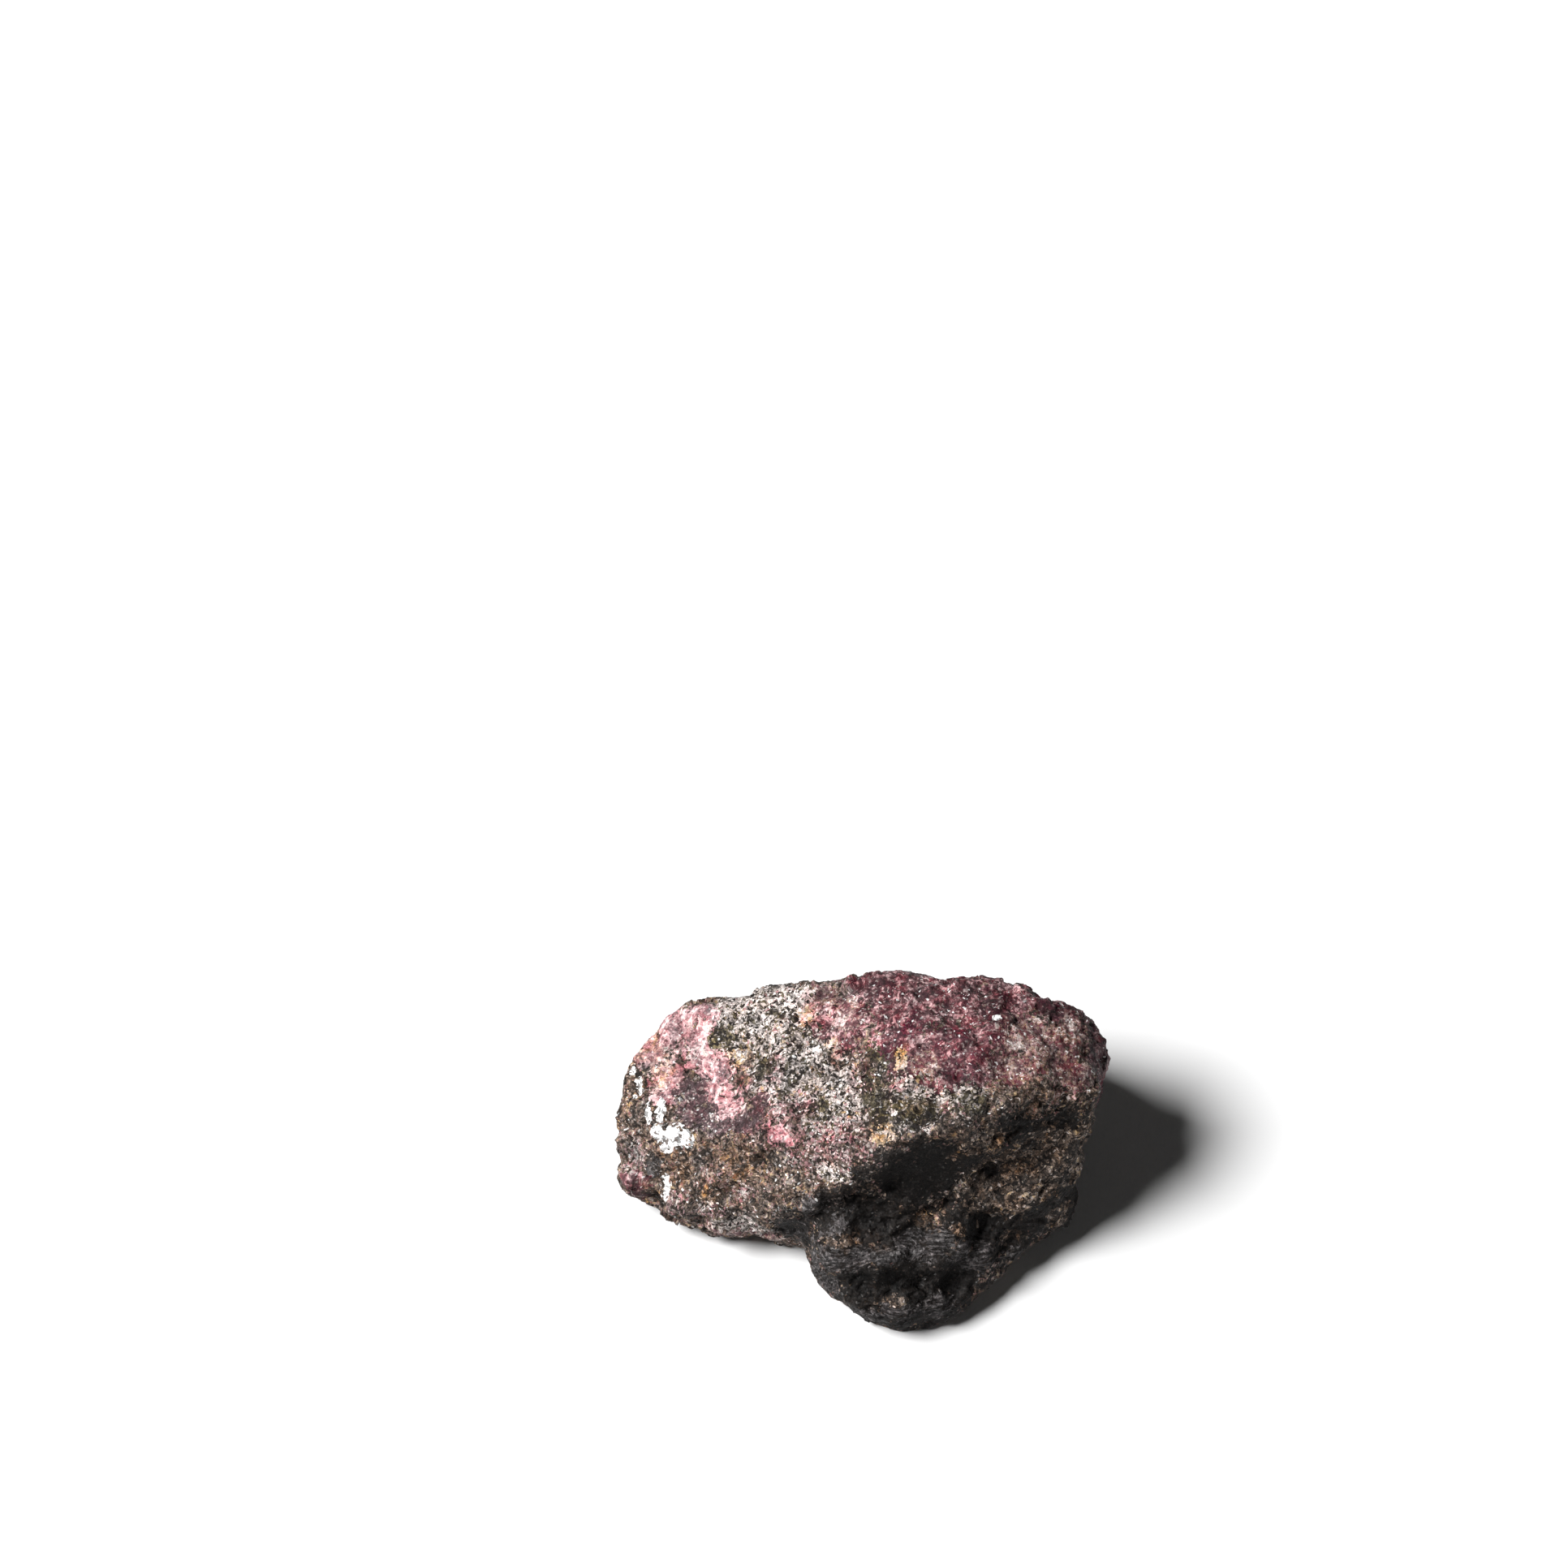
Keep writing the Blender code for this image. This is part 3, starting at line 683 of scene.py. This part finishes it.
class MineralFinish:
    """Works out the colour, the dullness and the lean of every grain, in grains of three sizes."""

    def __init__(self, n, settings):
        self.n = n
        self.settings = settings
        self.rest = n.attribute("rest_mm", "Vector")
        self.place = n.shaken(n.shaken(self.rest, 1.4, 0.7), 4.5, 0.2)
        self.group = grain_group()
        self.coarse = self.grains(settings.coarse_grain, COARSE_SHIFT)
        self.fine = self.grains(settings.fine_grain, FINE_SHIFT)
        self.speck = self.grains(settings.speck, SPECK_SHIFT)
        self.is_fine = n.math("GREATER_THAN", self.fine["Choice"], 1 - FINE_SHARE)
        streaks = n.add("ShaderNodeGroup", node_tree=streak_group())
        n.put(streaks.inputs["Place"], self.rest)
        self.streak = streaks.outputs["Streak"]
        self.kind = self.grain_kind()
        self.zone = {name: n.attribute("zone_" + name) for name in ZONES}
        self.inside = self.zone_insides()
        self.cloudy = 0.0
        for name in CLOUDY_ZONES:
            self.cloudy = n.math("MAXIMUM", self.cloudy, self.inside[name])
        self.bright_side = self.brightness_of_side()

    def grains(self, size, shift):
        """The values of the grains of one size, moved aside so that no two sizes line up."""
        node = self.n.add("ShaderNodeGroup", node_tree=self.group)
        self.n.put(node.inputs["Place"], self.n.vector("ADD", self.place, (shift, 0, 0)))
        self.n.put(node.inputs["Size"], size / MM)
        return node.outputs

    def noise(self, scale, detail, roughness):
        return self.n.noise(self.rest, scale, detail, roughness).outputs[0]

    def grain_kind(self):
        """A value for each grain that picks its colour from a palette, with like grains in clusters."""
        n = self.n
        is_speck = n.math("GREATER_THAN", self.speck["Choice"], 1 - SPECK_SHARE)
        kind = n.between(self.is_fine, self.coarse["Kind"], self.fine["Kind"])
        kind = n.between(is_speck, kind, self.speck["Kind"])
        drawn_out = n.vector("MULTIPLY", self.rest, (1.2, 0.7, 1.0))
        cluster = n.noise(drawn_out, 0.9, 4.0, 0.62).outputs[0]
        return n.math("MULTIPLY", kind, n.ramp(cluster, 0.36, 0.64, 0.55, 1.12))

    def kinds_by_zone(self):
        """The value that picks the colour, for each zone: clouded in some, streaked in others."""
        n = self.n
        veil = n.ramp(self.noise(1.6, 5.0, 0.7), 0.34, 0.66)
        broad = n.ramp(self.noise(0.42, 6.0, 0.72), 0.33, 0.67)
        clouded = n.between(0.62, self.kind, n.between(0.55, veil, broad))
        kinds = dict.fromkeys(PALETTES, self.kind)
        kinds["brown"] = n.ramp(n.between(0.35, self.kind, veil), 0.12, 0.86)
        kinds.update(dict.fromkeys(CLOUDY_ZONES, n.ramp(clouded, 0.2, 0.8)))
        kinds["fibrous"] = n.between(0.8, self.kind, self.streak)
        kinds["charcoal_and_shade"] = n.between(0.3, self.kind, self.streak)
        return kinds

    def zone_insides(self):
        """One for the grains inside each zone and nought for the others, so that edges follow the grains."""
        n = self.n
        by_grain = n.between(self.is_fine, self.coarse["Choice"], self.fine["Shine"])
        by_grain = n.math("MULTIPLY", n.math("SUBTRACT", by_grain, 0.5), EDGE_BY_GRAIN)
        by_place = n.math("MULTIPLY", n.math("SUBTRACT", self.noise(0.8, 5.0, 0.7), 0.5), EDGE_BY_PLACE)
        edge = n.math("ADD", by_grain, by_place)
        insides = {}
        for name, zone in self.zone.items():
            near = n.math("MULTIPLY", edge, n.ramp(zone, 0.0, 0.25))
            insides[name] = n.math("GREATER_THAN", n.math("ADD", zone, near), 0.5)
        return insides

    def brightness_of_side(self):
        """One on the light side of the stone, little on the dark bulge and the dark band above it."""
        n = self.n
        dark = n.math("MAXIMUM", self.zone["charcoal_and_shade"], self.zone["dark_ridge_band"])
        dark = n.math("MAXIMUM", dark, self.zone["fibrous"])
        light = n.math("MAXIMUM", self.zone["pepper"], self.zone["mauve"])
        return n.ramp(n.math("SUBTRACT", dark, light), 0.0, 0.8, 1.0, 0.12)

    def palette(self, name, value):
        """The colour that a zone's palette gives for a value between nought and one."""
        node = self.n.add("ShaderNodeValToRGB", {"Fac": value})
        stops = node.color_ramp.elements
        node.color_ramp.interpolation = "LINEAR" if name in CLOUDY_ZONES else "CONSTANT"
        stops.remove(stops[1])
        start = 0.0
        for index, (share, mineral, lightness) in enumerate(PALETTES[name]):
            stop = stops[0] if index == 0 else stops.new(start)
            stop.position = start
            stop.color = (*(lightness * part for part in getattr(self.settings, mineral)), 1)
            start += share
        return node.outputs["Color"]

    def minerals(self):
        """The zones' colours, each laid over those before it. The silvery flakes, painted near white as
        their glint too, come last, over the dust.
        """
        kinds = self.kinds_by_zone()
        tone = self.palette("brown", kinds["brown"])
        for name, inside in self.inside.items():
            if name != "mica_glint":
                tone = self.n.mixed(inside, tone, self.palette(name, kinds[name]))
        return tone

    def specked(self, tone):
        """Light specks, specks painted near white as glints, and dark specks, the first two mostly on the
        light side.
        """
        n = self.n
        light = n.math("GREATER_THAN", self.speck["Kind"], 1 - LIGHT_SPECK_SHARE)
        # Painted glints: a few specks are painted near white in place of the key light's reflection.
        painted_glint = n.math("GREATER_THAN", self.speck["Shine"], 1 - PAINTED_GLINT_SHARE)
        dark = n.math("LESS_THAN", self.speck["Kind"], DARK_SPECK_SHARE)
        light = n.math("MULTIPLY", light, n.math("MULTIPLY", self.bright_side, 0.35))
        painted_glint = n.math("MULTIPLY", painted_glint, n.math("MULTIPLY", self.bright_side, 0.7))
        dark = n.math("MULTIPLY", dark, 0.6)
        tone = n.mixed(light, tone, (*self.settings.white, 1))
        tone = n.mixed(painted_glint, tone, (*self.settings.silver, 1))
        return n.mixed(dark, tone, (*self.settings.black, 1))

    def stained(self, tone):
        """Blotches that take on a stain's hue and keep their own lightness."""
        n = self.n
        blotch = n.ramp(self.noise(1.2, 4.0, 0.7), 0.4, 0.58)
        blotch = n.math("MULTIPLY", blotch, n.math("ADD", 0.3, self.fine["Shine"]))
        for name, (stain, strength) in STAIN_COLOURS.items():
            amount = n.math("MULTIPLY", n.attribute("zone_" + name), n.math("MULTIPLY", blotch, strength))
            tone = n.mixed(amount, tone, (*getattr(self.settings, stain), 1), blend="COLOR")
        return tone

    def saturated(self, tone):
        """The same colour, a little richer here and duller there, and from grain to grain."""
        n = self.n
        by_place = n.ramp(self.noise(0.45, 4.0, 0.65), 0.32, 0.68, 0.76, 1.24)
        by_grain = n.math("ADD", 0.87, n.math("MULTIPLY", self.coarse["Shine"], 0.26))
        values = {"Saturation": n.math("MULTIPLY", by_place, by_grain), "Color": tone}
        return n.add("ShaderNodeHueSaturation", values).outputs["Color"]

    def lightness(self):
        """Broad clouds, dust, painted shade in the low places of the relief and the dark gaps between
        grains, as a factor of the colour.
        """
        n = self.n
        cloud = n.ramp(self.noise(0.4, 4.0, 0.6), 0.3, 0.7, 0.72, 1.28)
        dust = n.ramp(self.noise(3.4, 4.0, 0.75), 0.3, 0.7, 0.5, 1.5)
        dust = n.between(n.math("MULTIPLY", self.cloudy, 0.45), dust, 1.0)
        # Painted shade: the colour darkens where the relief lies below the skin.
        painted_pit_shade = n.ramp(n.attribute("raised_mm"), -0.9, 0.05, 0.35, 1.0)
        gap = n.between(self.is_fine, self.coarse["Gap"], self.fine["Gap"])
        gap = n.ramp(gap, 0.0, 1.0, n.between(self.cloudy, 0.55, 0.85), 1.06)
        return n.math("MULTIPLY", n.math("MULTIPLY", n.math("MULTIPLY", cloud, dust), painted_pit_shade), gap)

    def colour(self):
        tone = self.saturated(self.stained(self.specked(self.minerals())))
        tone = self.n.scaled(tone, self.lightness())
        # The silvery flakes, part painted glint, go on after the lightness factor.
        return self.n.mixed(self.inside["mica_glint"], tone, self.palette("mica_glint", self.kind))

    def roughness(self):
        """Dull, but for the glinting grains on the light side."""
        n = self.n
        glint = n.math("GREATER_THAN", self.fine["Shine"], 1 - GLINT_SHARE)
        glint = n.math("MULTIPLY", glint, n.ramp(self.bright_side, 0.0, 1.0, 0.1, 0.3))
        return n.math("SUBTRACT", STONE_ROUGHNESS, glint)

    def normal(self):
        """The skin's own direction, with every grain leaning its own way, and fine grit on top."""
        n = self.n
        lean = n.vector("ADD", self.fine["Lean"], n.scaled(self.speck["Lean"], 0.5))
        lean = n.vector("ADD", n.scaled(self.coarse["Lean"], 0.6), lean)
        lean = n.scaled(lean, n.math("MULTIPLY", n.between(self.cloudy, 1.0, 0.6), self.settings.facet_tilt))
        lean = n.scaled(lean, n.ramp(self.zone["lilac"], 0.0, 1.0, 1.0, 0.4))
        skin = n.add("ShaderNodeNewGeometry").outputs["Normal"]
        facet = n.vector("NORMALIZE", n.vector("ADD", skin, lean))
        fibres = n.math("MULTIPLY", self.streak, n.ramp(self.zone["fibrous"], 0.0, 1.0, 0.0, 0.8))
        grit = n.math("ADD", self.noise(4.0, 4.0, 0.7), fibres)
        values = {"Strength": 0.7, "Distance": GRIT_HEIGHT * MM, "Height": grit, "Normal": facet}
        return n.add("ShaderNodeBump", values).outputs["Normal"]


def stone_material(settings):
    """The stone's minerals, procedural throughout."""
    material = bpy.data.materials.new("rhodonite")
    material.use_nodes = True
    n = Nodes(material.node_tree)
    shader = material.node_tree.nodes["Principled BSDF"]
    finish = MineralFinish(n, settings)
    n.put(shader.inputs["Base Color"], finish.colour())
    n.put(shader.inputs["Roughness"], finish.roughness())
    n.put(shader.inputs["Normal"], finish.normal())
    shader.inputs["Specular IOR Level"].default_value = STONE_SPECULAR
    return material


def floor_material(settings):
    """White to the camera, darker to the light that bounces off it."""
    material = bpy.data.materials.new("floor")
    material.use_nodes = True
    n = Nodes(material.node_tree)
    shader = material.node_tree.nodes["Principled BSDF"]
    seen = n.add("ShaderNodeLightPath").outputs["Is Camera Ray"]
    tone = n.mixed(seen, (*settings.floor_bounce, 1), (*settings.floor_colour, 1))
    n.put(shader.inputs["Base Color"], tone)
    shader.inputs["Roughness"].default_value = 1
    shader.inputs["Specular IOR Level"].default_value = 0
    return material


class RHODONITE_OT_stone(bpy.types.Operator):
    """Builds the stone's skin and its mineral finish over the CAD stone"""

    bl_idname = "rhodonite.stone"
    bl_label = "Build the stone"

    def execute(self, context):
        settings = context.scene.rhodonite_stone
        stone = copy_of_node(NODE, "rough_stone")
        apply_modifier(stone, "SUBSURF", "round_facets", levels=1, render_levels=1)
        apply_modifier(stone, "REMESH", "fine_skin", mode="VOXEL", voxel_size=settings.skin_voxel)
        apply_modifier(stone, "SMOOTH", "even_skin", iterations=settings.smooth_passes)
        apply_modifier(stone, "NODES", "relief", node_group=relief_tree(settings))
        bpy.ops.object.shade_smooth()
        stone.data.materials.clear()
        stone.data.materials.append(stone_material(settings))
        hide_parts(NODE)
        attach(stone, "root")
        return {"FINISHED"}


class RHODONITE_OT_stage(bpy.types.Operator):
    """Adds the floor, the light and the camera"""

    bl_idname = "rhodonite.stage"
    bl_label = "Build the stage"

    def execute(self, context):
        settings = context.scene.rhodonite_stage
        bpy.ops.object.select_all(action="DESELECT")
        bpy.ops.mesh.primitive_plane_add(size=settings.floor_size)
        floor = context.object
        floor.name = "floor"
        floor.data.materials.append(floor_material(settings))
        self.light(context, settings)
        bpy.ops.object.camera_add(location=settings.camera_place, rotation=(settings.camera_tilt, 0, 0))
        camera = context.object
        camera.name = "camera"
        camera.data.sensor_width = settings.sensor_width
        camera.data.lens = settings.lens
        camera.data.clip_start = 0.01
        context.scene.camera = camera
        context.scene.view_settings.view_transform = "Standard"
        return {"FINISHED"}

    def light(self, context, settings):
        """A wide sun from the left, a weak one from the right, and an even glow that looks white."""
        key_turn = (0, settings.key_elevation - math.radians(90), settings.key_turn)
        fill_turn = (0, math.radians(90) - settings.fill_elevation, -settings.fill_turn)
        for name, turn, strength, width in (
            ("key_light", key_turn, settings.key_strength, settings.key_width),
            ("fill_light", fill_turn, settings.fill_strength, settings.fill_width),
        ):
            bpy.ops.object.light_add(type="SUN", rotation=turn)
            context.object.name = name
            context.object.data.energy = strength
            context.object.data.angle = width
        world = bpy.data.worlds.new("glow")
        context.scene.world = world
        world.use_nodes = True
        n = Nodes(world.node_tree)
        seen = n.add("ShaderNodeLightPath").outputs["Is Camera Ray"]
        background = world.node_tree.nodes["Background"]
        background.inputs["Color"].default_value = (1, 1, 1, 1)
        n.put(background.inputs["Strength"], n.between(seen, settings.ambient, 1.0))


# Each step and the settings that it reads.
OPERATORS_AND_GROUPS = (
    (RHODONITE_OT_stone, "rhodonite_stone"),
    (RHODONITE_OT_stage, "rhodonite_stage"),
)


class RHODONITE_PT_panel(bpy.types.Panel):
    """Lists the steps and their settings"""

    bl_idname = "RHODONITE_PT_panel"
    bl_label = "Rough rhodonite stone"
    bl_space_type = "VIEW_3D"
    bl_region_type = "UI"
    bl_category = "Rhodonite"

    def draw(self, context):
        for operator, group in OPERATORS_AND_GROUPS:
            box = self.layout.box()
            box.operator(operator.bl_idname)
            settings = getattr(context.scene, group)
            for name in settings.bl_rna.properties.keys():
                if name not in {"rna_type", "name"}:
                    box.prop(settings, name)


CLASSES = (
    RhodoniteStoneSettings,
    RhodoniteStageSettings,
    RHODONITE_OT_stone,
    RHODONITE_OT_stage,
    RHODONITE_PT_panel,
)


def register():
    for cls in CLASSES:
        bpy.utils.register_class(cls)
    bpy.types.Scene.rhodonite_stone = PointerProperty(type=RhodoniteStoneSettings)
    bpy.types.Scene.rhodonite_stage = PointerProperty(type=RhodoniteStageSettings)


def unregister():
    del bpy.types.Scene.rhodonite_stage
    del bpy.types.Scene.rhodonite_stone
    for cls in reversed(CLASSES):
        bpy.utils.unregister_class(cls)


def main():
    register()
    bpy.ops.rhodonite.stone()
    bpy.ops.rhodonite.stage()


if __name__ == "__main__":
    main()
